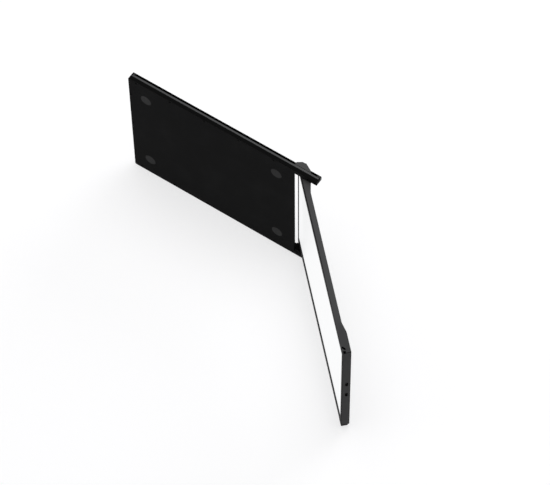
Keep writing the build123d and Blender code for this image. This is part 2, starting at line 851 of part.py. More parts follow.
def make_ribbon():
    """The flat ribbon between the source board and the driver board."""
    low = module_back + source_board_thickness
    high = board_front - ribbon_thickness
    path = [
        (source_board_end - ribbon_lap, low),
        (board_start - ribbon_rise, low),
        (board_start, high),
        (board_start + ribbon_lap, high),
    ]
    other_side = [(u, v + ribbon_thickness) for u, v in reversed(path)]
    bends = [0, ribbon_bend, ribbon_bend, 0]
    half_width = ribbon_width / 2
    return prism_z(path + other_side, bends + bends, ribbon_z - half_width, ribbon_z + half_width)


def make_driver_board():
    """The main board in the raised outer block."""
    board = slab((board_start, board_end), (board_front, board_back), (board_bottom, board_top))
    for u, z in board_screw_places:
        board -= rod((u, board_front, z), backwards, cover_screw_shank + screw_clearance, board_thickness)
    return board


def chip_block(inset, drop, size, low, high):
    """A square block on the driver board, between two heights."""
    u, z = board_start + inset, board_top - drop
    return slab((u - size / 2, u + size / 2), (low, high), (z - size / 2, z + size / 2))


def make_board_chips():
    """The larger parts on the back of the driver board."""
    return [
        chip_block(inset, drop, size, board_back, board_back + height)
        for inset, drop, size, height in zip(chip_insets, chip_drops, chip_sizes, chip_heights)
    ]


def make_thermal_pad():
    """A soft pad that carries heat from the largest chip to the cover."""
    return chip_block(chip_insets[0], chip_drops[0], pad_size, board_back + chip_heights[0], thick_inside)


def make_board_screws():
    """Small screws that hold the driver board to the cover's bosses."""
    screws = []
    for u, z in board_screw_places:
        head = rod((u, board_front, z), forwards, board_screw_head, board_screw_head_height)
        shank = rod((u, board_front, z), backwards, cover_screw_shank, board_thickness + board_bore)
        screws.append(head + shank)
    return screws


def make_port_shells():
    """The steel shells of the two sockets in the outer end."""
    front = panel_reach - port_recess
    back = front - port_depth
    return [
        port_block(z, 0, back, front) - port_block(z, -port_wall, back + port_wall, front)
        for z in port_places
    ]


def make_port_tongues():
    """The contact tongues inside the sockets."""
    back = panel_reach - port_recess - port_depth + port_wall
    half_v, half_z = tongue_height / 2, tongue_width / 2
    return [
        slab((back, back + tongue_length), (port_v - half_v, port_v + half_v), (z - half_z, z + half_z))
        for z in port_places
    ]


def make_push_switches():
    """Low push switches on the driver board, under the power button and the rocker's two ends."""
    reach = rocker_length / 2 - switch_inset
    half_u, half_z = switch_width / 2, switch_length / 2
    return [
        slab((button_u - half_u, button_u + half_u), (board_back, switch_top), (z - half_z, z + half_z))
        for z in (power_z, rocker_z - reach, rocker_z + reach)
    ]


# ---------------------------------------------------------------- buttons
def make_button_cap(z, length, low):
    """A button's cap, standing a little above the cover, with a soft edge."""
    cap = button_block(z, length, 0, low, thick_v + button_stand)
    return fillet(rim(cap, Axis.Y, -1), button_edge_radius)


def make_power_button():
    """A short push button, kept in by a flange behind the cover."""
    low = thick_inside - flange_thickness
    flange = button_block(power_z, power_length, flange_lip, low, thick_inside)
    return flange + make_button_cap(power_z, power_length, low)


def make_rocker_button():
    """A long rocker that tips on a small pin at its middle."""
    rocker = make_button_cap(rocker_z, rocker_length, thick_inside - rocker_cap_depth)
    rocker += rocker_axle(button_width / 2, rocker_hub_radius)
    return rocker - rocker_axle(button_width / 2, rocker_pin_radius + running_clearance)


def make_rocker_pin():
    """The pin between the cover's two ears."""
    return rocker_axle(rocker_ear_reach(), rocker_pin_radius)


# ---------------------------------------------------------------- build and write
def write(name, pieces, place):
    """Writes one node: a single piece, or a group of separate ones."""
    group = pieces if isinstance(pieces, list) else [pieces]
    solids = []
    for piece in group:
        solids += place(piece).solids()
    node = solids[0] if len(solids) == 1 else Compound(solids)
    export_step(node, f"parts/{name}.step")


top_rail = make_top_rail()
top_carriage = make_top_carriage()
top_hinge_leaf = make_top_hinge_leaf()

frame_nodes = {
    "lid_plate": make_lid_plate(),
    "lid_magnets": make_magnets(),
    "top_rail": top_rail,
    "bottom_rail": flipped(top_rail),
    "left_end_bar": make_left_end_bar(),
    "rail_plugs": make_rail_plugs(),
    "frame_screws": make_frame_screws(),
    "top_carriage": top_carriage,
    "bottom_carriage": flipped(top_carriage),
    "glide_shoes": make_glide_shoes(),
    "pivot_pins": make_pivot_pins(),
    "pivot_nuts": make_pivot_nuts(),
}
panel_nodes = {
    "thrust_washers": make_thrust_washers(),
    "friction_washers": make_friction_washers(),
    "top_hinge_leaf": top_hinge_leaf,
    "bottom_hinge_leaf": flipped(top_hinge_leaf),
    "hinge_leaf_screws": make_leaf_screws(),
    "rear_cover": make_rear_cover(),
    "front_bezel": make_front_bezel(),
    "cover_screws": make_cover_screws(),
    "vent_grilles": make_vent_grilles(),
    "panel_foot": make_panel_foot(),
    "display_glass": make_display_glass(),
    "lcd_cell": make_lcd_cell(),
    "led_bar": make_led_bar(),
    "light_guide": make_light_guide(),
    "lcd_tray": make_lcd_tray(),
    "foam_strips": make_foam_strips(),
    "source_board": make_source_board(),
    "ribbon": make_ribbon(),
    "driver_board": make_driver_board(),
    "board_chips": make_board_chips(),
    "thermal_pad": make_thermal_pad(),
    "board_screws": make_board_screws(),
    "port_shells": make_port_shells(),
    "port_tongues": make_port_tongues(),
    "push_switches": make_push_switches(),
    "power_button": make_power_button(),
    "rocker_button": make_rocker_button(),
    "rocker_pin": make_rocker_pin(),
}

os.makedirs("parts", exist_ok=True)
for name, pieces in frame_nodes.items():
    write(name, pieces, lambda piece: piece)
for name, pieces in panel_nodes.items():
    write(name, pieces, on_panel)

print("frame:", frame_length, "x", rail_back, "x", 2 * half_frame)
print("hinge axis:", hinge_x, hinge_y)
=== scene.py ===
# %% [markdown]
# # A swinging second screen for a laptop
#
# The object is a flat frame that clings to the back of a laptop's lid, and one display panel that
# turns on an upright hinge at the frame's right-hand end. Its parts come from a CAD model and are
# already in place, in metres: X runs along the frame, Y points away from the lid and Z is up.
# Blender's work here is the camera, the light, a finish for every part, and the details that are
# too fine for the CAD model.

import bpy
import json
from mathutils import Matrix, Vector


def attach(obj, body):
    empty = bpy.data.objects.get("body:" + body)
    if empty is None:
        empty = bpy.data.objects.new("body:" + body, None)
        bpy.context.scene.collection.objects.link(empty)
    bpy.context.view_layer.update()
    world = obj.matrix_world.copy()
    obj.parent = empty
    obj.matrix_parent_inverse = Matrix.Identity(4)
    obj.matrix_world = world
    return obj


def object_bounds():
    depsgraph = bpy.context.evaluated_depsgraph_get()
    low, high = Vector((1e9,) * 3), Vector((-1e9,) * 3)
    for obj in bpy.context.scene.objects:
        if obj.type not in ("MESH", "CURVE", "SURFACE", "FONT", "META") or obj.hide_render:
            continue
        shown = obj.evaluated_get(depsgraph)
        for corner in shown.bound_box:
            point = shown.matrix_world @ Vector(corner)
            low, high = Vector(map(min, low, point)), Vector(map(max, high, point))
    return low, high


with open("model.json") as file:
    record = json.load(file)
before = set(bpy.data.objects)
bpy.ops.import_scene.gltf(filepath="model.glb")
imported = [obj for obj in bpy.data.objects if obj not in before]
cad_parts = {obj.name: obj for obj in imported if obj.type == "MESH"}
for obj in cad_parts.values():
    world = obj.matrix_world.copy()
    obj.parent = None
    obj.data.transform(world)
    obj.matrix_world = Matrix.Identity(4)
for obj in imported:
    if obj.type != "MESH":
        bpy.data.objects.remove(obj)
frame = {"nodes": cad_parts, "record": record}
cad_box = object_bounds()

# %% [markdown]
# ## Units and the panel's own axes
#
# Lengths below are written in millimetres, because the parts are small, and multiplied by `mm`
# where Blender needs metres. The panel rests turned by 45 degrees about its hinge, so it gets axes
# of its own: u runs from the hinge to the outer end, v from the screen to the back, and z is up.
# A detail can then be placed by the same three numbers that a drawing of the panel would give.

# %% Units and axes
import json
import math

import bpy
import numpy as np

mm = 0.001
hinge = (134.5, 15.3, 0.0)
rest_turn = math.radians(-45)
turn = np.array([
    [math.cos(rest_turn), -math.sin(rest_turn), 0],
    [math.sin(rest_turn), math.cos(rest_turn), 0],
    [0, 0, 1],
])


def on_panel(points):
    """Panel points (u, v, z) in millimetres, carried to the hinge: place = hinge + turn * point."""
    return points @ turn.T + np.array(hinge)


far_corner = on_panel(np.array([[304.6, 3.3, 100.25]]))[0]
print("the panel's far top corner:", far_corner.round(1), "mm")

# %% [markdown]
# ## The camera
#
# The view looks down on the object from the front right, from far away through a long lens, so that
# parallel edges stay nearly parallel. The place and the turn could be set by trying; here they are
# worked out from the object's known corners, so they are given as plain numbers. A quaternion holds
# the turn, because three separate angles would also need an order.

# %% Camera
camera_data = bpy.data.cameras.new("camera")
camera_data.sensor_width = 36.0
camera_data.lens = 189.3277
camera = bpy.data.objects.new("camera", camera_data)
camera.location = (1.40119, -1.88375, 3.48585)
camera.rotation_mode = "QUATERNION"
camera.rotation_quaternion = (0.917882, 0.266833, 0.085692, 0.280979)
bpy.context.scene.collection.objects.link(camera)
bpy.context.scene.camera = camera
bpy.context.scene.view_settings.view_transform = "Standard"
print("camera:", camera.location[:], "lens", camera_data.lens, "mm")

# %% [markdown]
# ## Arithmetic for shader nodes
#
# A finish is a small calculation at every point of a surface, such as "dark, but lighter where this
# mask is 1". Node by node that takes many lines. A socket wrapped in a class with + - * / lets the
# calculation be written as it is thought, and each operator adds its Math node. Every other node
# comes from one method that takes its kind, its settings and the values or links of its sockets.


# %% A socket with arithmetic
class Shade:
    """One output of a node. Sums, differences, products and quotients add Math nodes."""

    def __init__(self, tree, socket=None):
        self.tree = tree
        self.socket = socket

    def node(self, kind, settings=None, sockets=None, out=0):
        """Adds a node: first its settings, then the value or link of each socket."""
        added = self.tree.nodes.new(kind)
        for name, value in (settings or {}).items():
            setattr(added, name, value)
        for key, value in (sockets or {}).items():
            if isinstance(value, Shade):
                self.tree.links.new(value.socket, added.inputs[key])
            else:
                added.inputs[key].default_value = value
        return Shade(self.tree, added.outputs[out]) if added.outputs else None

    def maths(self, operation, *values):
        return self.node("ShaderNodeMath", {"operation": operation}, dict(enumerate(values)))

    def __add__(self, other):
        return self.maths("ADD", self, other)

    def __sub__(self, other):
        return self.maths("SUBTRACT", self, other)

    def __rsub__(self, other):
        return self.maths("SUBTRACT", other, self)

    def __mul__(self, other):
        return self.maths("MULTIPLY", self, other)

    def __truediv__(self, other):
        return self.maths("DIVIDE", self, other)

    def __rtruediv__(self, other):
        return self.maths("DIVIDE", other, self)

    def __abs__(self):
        return self.maths("ABSOLUTE", self)

    __radd__ = __add__
    __rmul__ = __mul__


# %% [markdown]
# ## Words for patterns
#
# Most finishes are made of the same few words: where a point is in millimetres, how grainy it is
# there, whether it lies between two limits, and how often something repeats. As functions they
# keep the finishes short, and they keep real sizes visible: a grain of 0.3 is 0.3 mm wide.


# %% Pattern words
def where(start, on_the_panel):
    """The point on the part in millimetres, in the frame's axes or the panel's own."""
    point = start.node("ShaderNodeTexCoord", out="Object")
    return start.node("ShaderNodeMapping", {"vector_type": "TEXTURE"}, {
        "Vector": point,
        "Location": [c * mm for c in hinge] if on_the_panel else (0, 0, 0),
        "Rotation": (0, 0, rest_turn if on_the_panel else 0),
        "Scale": (mm, mm, mm),
    })


def split(vector):
    """The three numbers of a vector."""
    first = vector.node("ShaderNodeSeparateXYZ", {}, {"Vector": vector})
    return [Shade(vector.tree, output) for output in first.socket.node.outputs]


def stretch(vector, x, y, z):
    """The vector with each number multiplied; a pattern on it is drawn out where the factor is small."""
    return vector.node("ShaderNodeVectorMath", {"operation": "MULTIPLY"}, {0: vector, 1: (x, y, z)})


def grain(vector, size, detail=2.0):
    """Soft noise from 0 to 1, whose spots are about size wide."""
    return vector.node("ShaderNodeTexNoise", {}, {"Vector": vector, "Scale": 1 / size, "Detail": detail})


def cells(vector, size):
    """Voronoi cells about size wide: the distance to the nearest cell's point."""
    return vector.node("ShaderNodeTexVoronoi", {}, {"Vector": vector, "Scale": 1 / size}, "Distance")


def step(value, low, high):
    """0 below low, 1 above high, and a smooth rise between them."""
    return value.node("ShaderNodeMapRange", {"interpolation_type": "SMOOTHSTEP"}, {
        "Value": value, "From Min": low, "From Max": high, "To Min": 0.0, "To Max": 1.0,
    })


def band(value, low, high, soft=0.1):
    """1 between two limits and 0 outside them, with soft edges."""
    return step(value, low - soft, low + soft) * (1 - step(value, high - soft, high + soft))


def repeat(value, pitch):
    """The distance from the middle of the nearest of equal spaces, from 0 to half a pitch."""
    return abs(value.maths("FRACT", value / pitch) - 0.5) * pitch


def edges(start, on_the_panel):
    """1 along rounded edges, where the normal leans away from all axes, so its largest part is small."""
    normal = start.node("ShaderNodeTexCoord", out="Normal")
    if on_the_panel:
        turning = {"rotation_type": "Z_AXIS"}
        normal = start.node("ShaderNodeVectorRotate", turning, {"Vector": normal, "Angle": -rest_turn})
    x, y, z = [abs(part) for part in split(normal)]
    largest = x.maths("MAXIMUM", x.maths("MAXIMUM", x, y), z)
    return 1 - step(largest, 0.80, 0.90)


def inside(point, low, high, soft=0.05):
    """1 inside a box, which is given by its lowest and its highest corner."""
    x, y, z = split(point)
    return band(x, low[0], high[0], soft) * band(y, low[1], high[1], soft) * band(z, low[2], high[2], soft)


def tint(mask, first, second):
    """A colour that goes from first to second as the mask goes from 0 to 1."""
    colours = [c if isinstance(c, Shade) else (*c, 1.0) for c in (first, second)]
    return mask.node("ShaderNodeMix", {"data_type": "RGBA"}, {0: mask, 6: colours[0], 7: colours[1]}, 2)


def grey(value):
    """A neutral colour, a trace to the blue, as dark paint and plastic are."""
    return (value, value, value * 1.02)


materials = {}


def begin(name):
    """A new, empty material, and the wire that its nodes start from."""
    material = bpy.data.materials.new(name)
    material.use_nodes = True
    material.node_tree.nodes.clear()
    materials[name] = material
    return Shade(material.node_tree)


def close(start, colour, roughness, height, depth, **others):
    """Ends a finish: colour, roughness and relief (depth in millimetres), and other sockets by name."""
    relief = start.node("ShaderNodeBump", {}, {"Height": height, "Distance": depth * mm})
    sockets = {"Base Color": colour, "Roughness": roughness, "Normal": relief}
    sockets.update({name.replace("_", " "): value for name, value in others.items()})
    shader = start.node("ShaderNodeBsdfPrincipled", {}, sockets)
    start.node("ShaderNodeOutputMaterial", {}, {"Surface": shader})


print("pattern words ready")

# %% [markdown]
# ## Floor and light
#
# The object stands in a white studio: a wide soft lamp overhead, even light from all sides, and a
# floor so bright that only a faint shadow is left on it. Turning the lamps up until the floor burns
# out would also wash out the object. So the lamps stay at a plain level, and the floor and the
# surroundings show white to the camera, and in reflections, by the Light Path node. A part of the
# floor's colour is still its lit surface, and that part carries the shadow.


# %% Studio
def seen_directly(start):
    """1 for what the camera, a reflection or clear glass sees, and 0 for light on its way."""
    path = start.node("ShaderNodeLightPath")
    rays = {output.name: Shade(start.tree, output) for output in path.socket.node.outputs}
    reflected = rays["Is Camera Ray"].maths("MAXIMUM", rays["Is Camera Ray"], rays["Is Glossy Ray"])
    return reflected.maths("MAXIMUM", reflected, rays["Is Transmission Ray"])


def make_world(ambient):
    """Even light of the given strength, which is white where it is seen directly."""
    world = bpy.data.worlds.new("studio")
    world.use_nodes = True
    world.node_tree.nodes.clear()
    start = Shade(world.node_tree)
    strength = ambient + (1 - ambient) * seen_directly(start)
    light = start.node("ShaderNodeBackground", {}, {"Color": (1, 1, 1, 1), "Strength": strength})
    start.node("ShaderNodeOutputWorld", {}, {"Surface": light})
    bpy.context.scene.world = world


def make_floor(half_width, height, whiteness, squares=8):
    """A level grid of squares. Its shader is part lit surface and part plain white."""
    row = squares + 1
    steps = np.linspace(-half_width, half_width, row)
    x, y = np.meshgrid(steps, steps)
    points = np.stack([x, y, np.full_like(x, height)], axis=-1).reshape(-1, 3)
    corner = (np.arange(squares)[:, None] * row + np.arange(squares)).reshape(-1, 1)
    mesh = bpy.data.meshes.new("floor")
    mesh.from_pydata(points.tolist(), [], (corner + np.array([0, 1, row + 1, row])).tolist())
    floor = bpy.data.objects.new("floor", mesh)
    bpy.context.scene.collection.objects.link(floor)
    start = begin("floor")
    soft = grain(start.node("ShaderNodeTexCoord", out="Object"), 0.6)
    shown = tint(soft, grey(0.95), grey(0.97))
    lit = start.node("ShaderNodeBsdfDiffuse", {}, {"Color": tint(seen_directly(start), grey(0.37), shown)})
    white = start.node("ShaderNodeEmission", {}, {"Color": (1, 1, 1, 1), "Strength": 1.0})
    factor = seen_directly(start) * whiteness
    mixed = start.node("ShaderNodeMixShader", {}, {0: factor, 1: lit, 2: white})
    start.node("ShaderNodeOutputMaterial", {}, {"Surface": mixed})
    mesh.materials.append(materials["floor"])


def make_lamp(name, place, aim, size, power):
    """A square lamp that faces a point."""
    lamp_data = bpy.data.lights.new(name, "AREA")
    lamp_data.size = size
    lamp_data.energy = power
    lamp = bpy.data.objects.new(name, lamp_data)
    lamp.location = place
    direction = Vector(aim) - Vector(place)
    lamp.rotation_mode = "QUATERNION"
    lamp.rotation_quaternion = direction.to_track_quat("-Z", "Y")
    bpy.context.scene.collection.objects.link(lamp)


floor_height = cad_box[0].z
middle_of_object = (0.1, 0.0, 0.0)
make_world(ambient=0.34)
make_floor(half_width=6.0, height=floor_height, whiteness=0.62)
make_lamp("overhead", (0.0, 0.3, 3.0), middle_of_object, size=2.8, power=75.0)
make_lamp("window", (-1.9, -1.3, 1.5), middle_of_object, size=1.4, power=4.0)
make_lamp("behind", (0.5, 2.4, 1.3), middle_of_object, size=1.6, power=26.0)
print("floor at", round(floor_height / mm, 2), "mm")

# %% [markdown]
# ## Moulded plastics
#
# Most of the object is moulded plastic. The steel mould is etched with sparks, which leaves a fine
# leathery grain of a few tenths of a millimetre: it breaks up reflections, so the part looks soft and
# dark. Hands leave faint shinier patches some centimetres wide. One recipe serves them all: a grain
# for the relief, a wide noise for the shine, and a slow change of tone. What differs is how dark, how
# coarse and how glossy each part is, and that stands in a table.
#
# Three parts need one more step. The cover is grey; inside the strap eye and at the sockets' mouths,
# with a thin ring round each, painted shade turns it black, so they look like black holes. A plastic
# still reflects a little when it is black. A smooth black metal reflects nothing, if its reflection is
# tinted black too, so the holes count as metal. On the raised blocks at both ends the grey is painted a
# little darker, as painted shade. The bezel's side wall is black near the hinge, as painted shade, and
# takes on the cover's grey towards the outer end. The back of the lid plate, which is what people see
# when the lid is open, is greyer than the side that touches the lid.


# %% Moulded plastics
strap_eye = ((290.0, -8.6, 90.0), (304.45, -3.0, 100.1))
socket_v = -2.2
socket_z = (13.9, -14.1)
socket_straight_half = 2.87
# The painted shade reaches this far from a socket's middle line, a little past its mouth.
socket_shade_reach = 2.05
between_blocks = (19.0, 255.0)


def near_sockets(point):
    """1 up to socket_shade_reach from the middle line of either socket, which are a mirrored pair in z."""
    u, v, z = split(point)
    mirror = (socket_z[0] + socket_z[1]) / 2
    from_socket = abs(abs(z - mirror) - (socket_z[0] - mirror))
    past = from_socket.maths("MAXIMUM", from_socket - socket_straight_half, 0.0)
    distance_squared = (v - socket_v) * (v - socket_v) + past * past
    return (1 - step(distance_squared, socket_shade_reach**2 - 0.2, socket_shade_reach**2)) * step(u, 297.0, 297.2)


def cover_shade(point, colour):
    """Painted shade: a little darker on the raised blocks; black inside the strap eye and at the sockets'
    mouths.
    """
    u, v, z = split(point)
    # Painted shade: darker on the raised blocks at both ends, black in the holes and round the sockets.
    block_shade = 1 - band(u, *between_blocks, soft=14.0)
    hole_shade = near_sockets(point) + inside(point, *strap_eye)
    return tint(hole_shade, tint(block_shade * 0.22, colour, grey(0.0)), grey(0.001)), hole_shade


def bezel_side_shade(point, colour):
    """The cover's grey on the bezel's side wall, in the outer half, but not on its front; black towards the
    hinge, as painted shade.
    """
    u, v, z = split(point)
    return tint(step(v, -9.04, -8.84) * step(u, 150.0, 195.0), colour, grey(0.040)), 0.0


def frame_faces(point, colour):
    """A dark grey behind the lid plate, which changes slowly, and black on its top and bottom edge."""
    x, y, z = split(point)
    back_tone = tint(grain(point, 30.0, 3.0), grey(0.016), grey(0.026))
    colour = tint(step(y, 2.0, 2.6), colour, back_tone)
    return tint(step(abs(z), 109.4, 109.8), colour, grey(0.0025)), 0.0


def moulded(
    name, dark, light, coarse, depth, roughness, reflecting, on_the_panel=True, repaint=None, tinted=1.0
):
    """Etched plastic: fine grain in relief and tone, wide handling marks in the shine, and rounded edges
    painted darker, as painted shade, and smoother.

    repaint gives a colour and a mask of holes painted black as shade; tinted is the grey of the reflection's
    own tint.
    """
    start = begin(name)
    point = where(start, on_the_panel)
    skin = grain(point, coarse, 3.0)
    pits = cells(point, coarse * 2.2)
    touched = grain(point, 38.0, 3.0)
    edge_shade_and_polish = edges(start, on_the_panel)
    tone = skin * 0.35 + touched * 0.65
    shine = roughness + (skin - 0.5) * 0.12 - step(touched, 0.45, 0.75) * 0.05 - edge_shade_and_polish * 0.12
    # Rounded edges are painted darker here, as painted shade.
    colour = tint(edge_shade_and_polish, tint(tone, grey(dark), grey(light)), grey(dark * 0.3))
    hole_shade = 0.0
    if repaint:
        colour, hole_shade = repaint(point, colour)
        shine = shine - hole_shade * 0.42
    close(
        start, colour, shine, skin * 0.7 + pits * 0.3, depth,
        Specular_IOR_Level=reflecting, Metallic=hole_shade, Specular_Tint=(tinted, tinted, tinted, 1.0),
    )


# dark, light, coarse and depth in mm, roughness, reflecting, on_the_panel, repaint, tinted
plastics = {
    "frame_plastic": (0.006, 0.010, 0.35, 0.03, 0.60, 0.015, False, frame_faces),
    "bezel_plastic": (0.008, 0.013, 0.22, 0.012, 0.60, 0.05, True, bezel_side_shade),
    "casing": (0.050, 0.059, 0.30, 0.02, 0.50, 0.15, True, cover_shade, 0.0),
    "magnet": (0.006, 0.011, 0.50, 0.01, 0.40, 0.06, False),
    "black_plastic": (0.006, 0.010, 0.25, 0.012, 0.42, 0.15, True),
    "vent": (0.012, 0.018, 0.28, 0.02, 0.55, 0.25, True),
    "slippery_plastic": (0.55, 0.62, 0.60, 0.006, 0.28, 0.50, True),
}
for name, values in plastics.items():
    moulded(name, *values)
print("moulded plastics:", ", ".join(plastics))

# %% [markdown]
# ## Foot rubber
#
# The small foot under the outer end is black rubber. Rubber scatters light more than plastic does,
# and dust sits in its pores, so it is matt and a little grey where the pores are.

# %% Foot rubber
start = begin("foot_rubber")
point = where(start, True)
pores = cells(point, 0.45)
dust = grain(point, 3.0, 4.0)
dusty = step(dust, 0.45, 0.75) * step(pores, 0.1, 0.5)
rubber = tint(dusty, grey(0.013), grey(0.026))
close(start, rubber, 0.85 - dusty * 0.1, pores, 0.03, Specular_IOR_Level=0.1)
print("foot rubber")

# %% [markdown]
# ## Rails
#
# The rails are drawn aluminium with a black oxide skin. Drawing leaves fine lines along the length, so
# the grain is noise that is stretched fifty times in X. A painted highlight runs along the ridge's rear
# edge, where it catches the light: a thin line of lighter grey metal from end to end, wider beside the
# carriages. The line lies on the flat top, so it is a band in Y, kept to the outermost height. The
# highlight is also partly metallic and a little smoother, while the skin isn't metallic. The rear
# faces, found by their normal, are painted a little greyer, as painted light.

# %% Rails
rail_ends = (-160.2, 162.0)
ridge_highlight_band = (5.8, 8.5)
carriage_highlight_band = (7.5, 9.7)
beside_carriage = (119.9, 147.4)
start = begin("rail_aluminium")
point = where(start, False)
x, y, z = split(point)
drawn = grain(stretch(point, 0.02, 1, 1), 0.18, 3.0)
streaks = grain(stretch(point, 0.004, 1, 1), 0.9, 2.0)
outermost = step(abs(z), 109.3, 109.6)
wander = (grain(stretch(point, 0.05, 0, 0), 1.0) - 0.5) * 0.5
# A painted highlight along the ridge's rear edge, wider beside the carriages.
line = band(y + wander, *ridge_highlight_band, soft=0.35) * band(x, *rail_ends, soft=0.6)
carriage_highlight = band(y, *carriage_highlight_band) * band(x, *beside_carriage, soft=0.4)
ridge_highlight = line.maths("MAXIMUM", line, carriage_highlight) * outermost
# Faces that look back, found by their normal, are painted greyer, as painted light.
facing_back = step(split(start.node("ShaderNodeTexCoord", out="Normal"))[1], 0.7, 0.95)
deep_black = tint(streaks, grey(0.0012), grey(0.0028))
painted_light_black = tint(streaks, grey(0.010), grey(0.018))
oxide = tint(facing_back, deep_black, painted_light_black)
highlight_grey = tint(drawn, grey(0.038), grey(0.052))
close(
    start, tint(ridge_highlight, oxide, highlight_grey), 0.48 + (drawn - 0.5) * 0.2 - ridge_highlight * 0.1, drawn, 0.012,
    Metallic=ridge_highlight * 0.6, Specular_IOR_Level=0.015,
)
print("bare line:", ridge_highlight_band, "mm behind the lid")

# %% [markdown]
# ## Hinge carriages
#
# The carriages are cast blocks with a dark grey powder coat. The powder melts into a skin like the
# peel of an orange, about a millimetre wide and very shallow, with metal flecks in it. The chamfer
# round the end face is painted as a slightly darker line, as painted shade.

# %% Carriages
start = begin("carriage_metal")
point = where(start, False)
x, y, z = split(point)
peel = grain(point, 1.1, 1.0)
fleck = step(grain(point, 0.16, 1.0), 0.62, 0.74)
# The chamfer round the end face: a line of painted shade.
edge = step(abs(z), 109.62, 109.72) * (1 - step(abs(z), 109.93, 109.99))
coat = tint(fleck, grey(0.031), grey(0.047))
close(
    start, tint(edge * 0.7, coat, grey(0.018)), 0.46 + (peel - 0.5) * 0.15 - fleck * 0.1, peel, 0.03,
    Specular_IOR_Level=0.18,
)
print("carriages")

# %% [markdown]
# ## Bright metals
#
# Pins, washers and hinge leaves are bare steel, the display's tray is rolled aluminium, and the
# screws and the sockets' shells are steel with a black oxide. Their colour is that of their
# reflection, so they are metallic, and what tells them apart is the grain: long rolled lines on
# sheet, short turning marks on pins and screws. Small worn spots are smoother than the rest. A black
# tint takes the glare off the oxide at a flat angle, and the shells are smoother than the screws.


# %% Bright metals
def smooth_shells(point, colour):
    """A mask and a tone of their own beyond 296 mm from the hinge, where only the shells are."""
    shells = step(split(point)[0], 295.0, 296.0)
    return tint(shells, colour, grey(0.055)), shells


def metal(name, dark, light, lines, roughness, on_the_panel, repaint=None, tinted=1.0):
    """Metal with a stretched grain: lines gives the factor of each axis."""
    start = begin(name)
    point = where(start, on_the_panel)
    rolled = grain(stretch(point, *lines), 0.12, 3.0)
    spots = grain(point, 2.5, 3.0)
    shine = roughness + (rolled - 0.5) * 0.18 - step(spots, 0.55, 0.7) * 0.06
    colour = tint(spots, grey(dark), grey(light))
    if repaint:
        colour, smooth = repaint(point, colour)
        shine = shine - smooth * 0.2
    close(start, colour, shine, rolled, 0.006, Metallic=1.0, Specular_Tint=(tinted, tinted, tinted, 1.0))


metal("steel", 0.30, 0.42, (0.3, 1.0, 0.3), 0.34, False)
metal("sheet_metal", 0.50, 0.60, (0.03, 1.0, 1.0), 0.30, True)
metal("black_steel", 0.016, 0.028, (0.6, 1.0, 0.6), 0.42, True, smooth_shells, 0.0)
print("metals: steel, sheet_metal, black_steel")

# %% [markdown]
# ## The lit screen
#
# The screen is on and shows a blank, nearly white page. It shines by itself, so its colour goes to
# the emission and not to the base colour, which would depend on the lamps. The backlight is a
# little weaker towards the corners. Around the page a narrow border stays dark, where the cell has
# no picture elements. The front is etched against glare: a relief far finer than a tenth of a
# millimetre.

# %% The lit screen
page_u = (-7.1, 299.2)
page_z = (-85.4, 90.0)
half_page = (153.2, 87.7)
bright, dim = (0.850, 0.853, 0.857), (0.828, 0.832, 0.838)
start = begin("screen")
point = where(start, True)
u, v, z = split(point)
page = band(u, *page_u, soft=0.05) * band(z, *page_z, soft=0.05)
off_u = abs(u - sum(page_u) / 2) / half_page[0]
off_z = abs(z - sum(page_z) / 2) / half_page[1]
fall = off_u * off_u * off_u * off_u * 0.5 + off_z * off_z * off_z * off_z * 0.5
etched = grain(point, 0.08, 2.0)
page_colour = tint(fall + (grain(point, 60.0) - 0.5) * 0.2, bright, dim)
close(
    start, grey(0.012) + (1.0,), 0.42 + (etched - 0.5) * 0.2, etched, 0.004,
    Emission_Color=tint(page, (0.0, 0.0, 0.0), page_colour), Emission_Strength=1.0,
    Specular_IOR_Level=0.05,
)
print("lit page:", page_u, page_z, "mm")

# %% [markdown]
# ## Behind the screen
#
# The cell is two sheets of glass, dark where no light comes through, with a ledge of fine conductors
# along its lower edge. The light guide is clear acrylic, printed with white dots that throw the
# light forward; they grow with the distance from the lamps, so that the page is even. The lamp
# bar carries a yellowish lamp every few millimetres.

# %% Cell, light guide and lamps
start = begin("panel_glass")
point = where(start, True)
u, v, z = split(point)
ledge = 1 - step(z, -92.2, -91.8)
leads = step(repeat(u, 0.8), 0.22, 0.28) * ledge
tone = tint(grain(point, 25.0), (0.030, 0.032, 0.036), (0.042, 0.044, 0.048))
close(start, tint(leads, tone, (0.34, 0.30, 0.22)), 0.12 + leads * 0.2, leads, 0.01)

start = begin("clear_sheet")
point = where(start, True)
u, v, z = split(point)
to_lamps = step(z, -95.0, 90.0)
dots = 1 - step(cells(point, 1.3), 0.16 + to_lamps * 0.16, 0.22 + to_lamps * 0.16)
close(start, tint(dots, (0.70, 0.73, 0.74), (0.86, 0.87, 0.86)), 0.10 + dots * 0.5, dots, 0.01)

start = begin("lamp_strip")
point = where(start, True)
u, v, z = split(point)
lamp = band(repeat(u, 6.4), 1.4, 4.0, 0.08)
close(start, tint(lamp, (0.80, 0.79, 0.74), (0.75, 0.55, 0.12)), 0.45 - lamp * 0.25, lamp, 0.05)
print("cell, light guide and lamp bar")

# %% [markdown]
# ## Boards and ribbon
#
# A circuit board is green lacquer over copper. The copper tracks stand in faint relief under it, in
# straight runs with even gaps, broken up into areas, and bare tinned rings sit at the holes. The
# ribbon is amber film with parallel copper conductors. Stripes come from the distance to the
# nearest of equal spaces, and coarse square cells cut them into areas.

